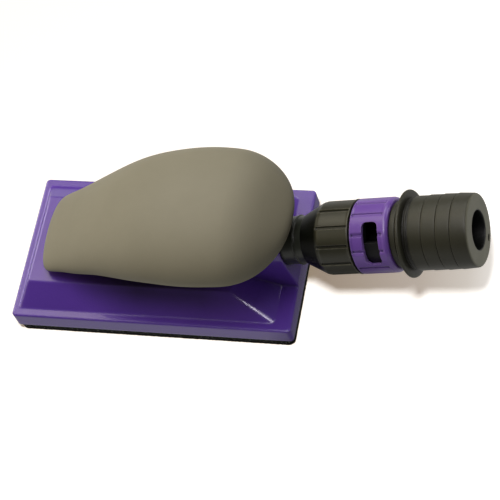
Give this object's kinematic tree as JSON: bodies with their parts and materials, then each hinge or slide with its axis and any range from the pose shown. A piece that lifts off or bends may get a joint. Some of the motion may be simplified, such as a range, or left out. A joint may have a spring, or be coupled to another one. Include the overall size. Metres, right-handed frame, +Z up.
{
  "type": "dust-extraction sanding block",
  "caption": "Hand sanding block with a perforated foam pad, a soft palm grip and a swivelling hose connector with a bleed-air regulator ring.",
  "frame": {"origin": "centre of the block's flat rubbing face", "axes": "+Z up, away from the rubbing face; +X along the block towards the hose; Y across the block"},
  "size_m": [0.2101, 0.07, 0.0633],
  "materials": {
    "hook": "fine hook pile",
    "foam": "microcellular foam",
    "plate_black": "moulded",
    "shell_purple": "glossy moulded",
    "steel": "zinc plated",
    "grip_soft": "satin soft touch",
    "core_black": "moulded",
    "neck_black": "satin",
    "seal_rubber": "smooth",
    "slip_white": "low friction",
    "nut_black": "satin moulded",
    "tube_black": "satin",
    "ring_purple": "glossy moulded",
    "adapter_rubber": "satin moulded rubber"
  },
  "bodies": {
    "block": {"hook_sheet": "hook", "foam_pad": "foam", "backing_plate": "plate_black", "plate_seal": "foam", "base_shell": "shell_purple", "plate_screws": "steel", "grip_skin": "grip_soft", "grip_core": "core_black", "grip_washers": "steel", "grip_screws": "steel", "neck_tube": "neck_black", "neck_seal": "seal_rubber", "neck_screw": "steel", "swivel_seal": "seal_rubber"},
    "hose": {"coupling_tube": "tube_black", "front_slip_ring": "slip_white", "rear_slip_ring": "slip_white", "regulator_o_rings": "seal_rubber", "hose_adapter": "adapter_rubber"},
    "nut": {"coupling_nut": "nut_black"},
    "ring": {"regulator_ring": "ring_purple"}
  },
  "joints": [
    {"name": "hose_swivel", "type": "hinge", "parent": "block", "child": "hose", "pos_m": [0.07625, 0, 0.03335], "axis": [0.9806, 0, 0.1959], "continuous": true},
    {"name": "nut_twist", "type": "hinge", "parent": "hose", "child": "nut", "pos_m": [0.08311, 0, 0.03472], "axis": [0.9806, 0, 0.1959], "range_deg": [0, 60]},
    {"name": "regulator_turn", "type": "hinge", "parent": "hose", "child": "ring", "pos_m": [0.10292, 0, 0.03868], "axis": [0.9806, 0, 0.1959], "range_deg": [-36.4, 37]}
  ]
}
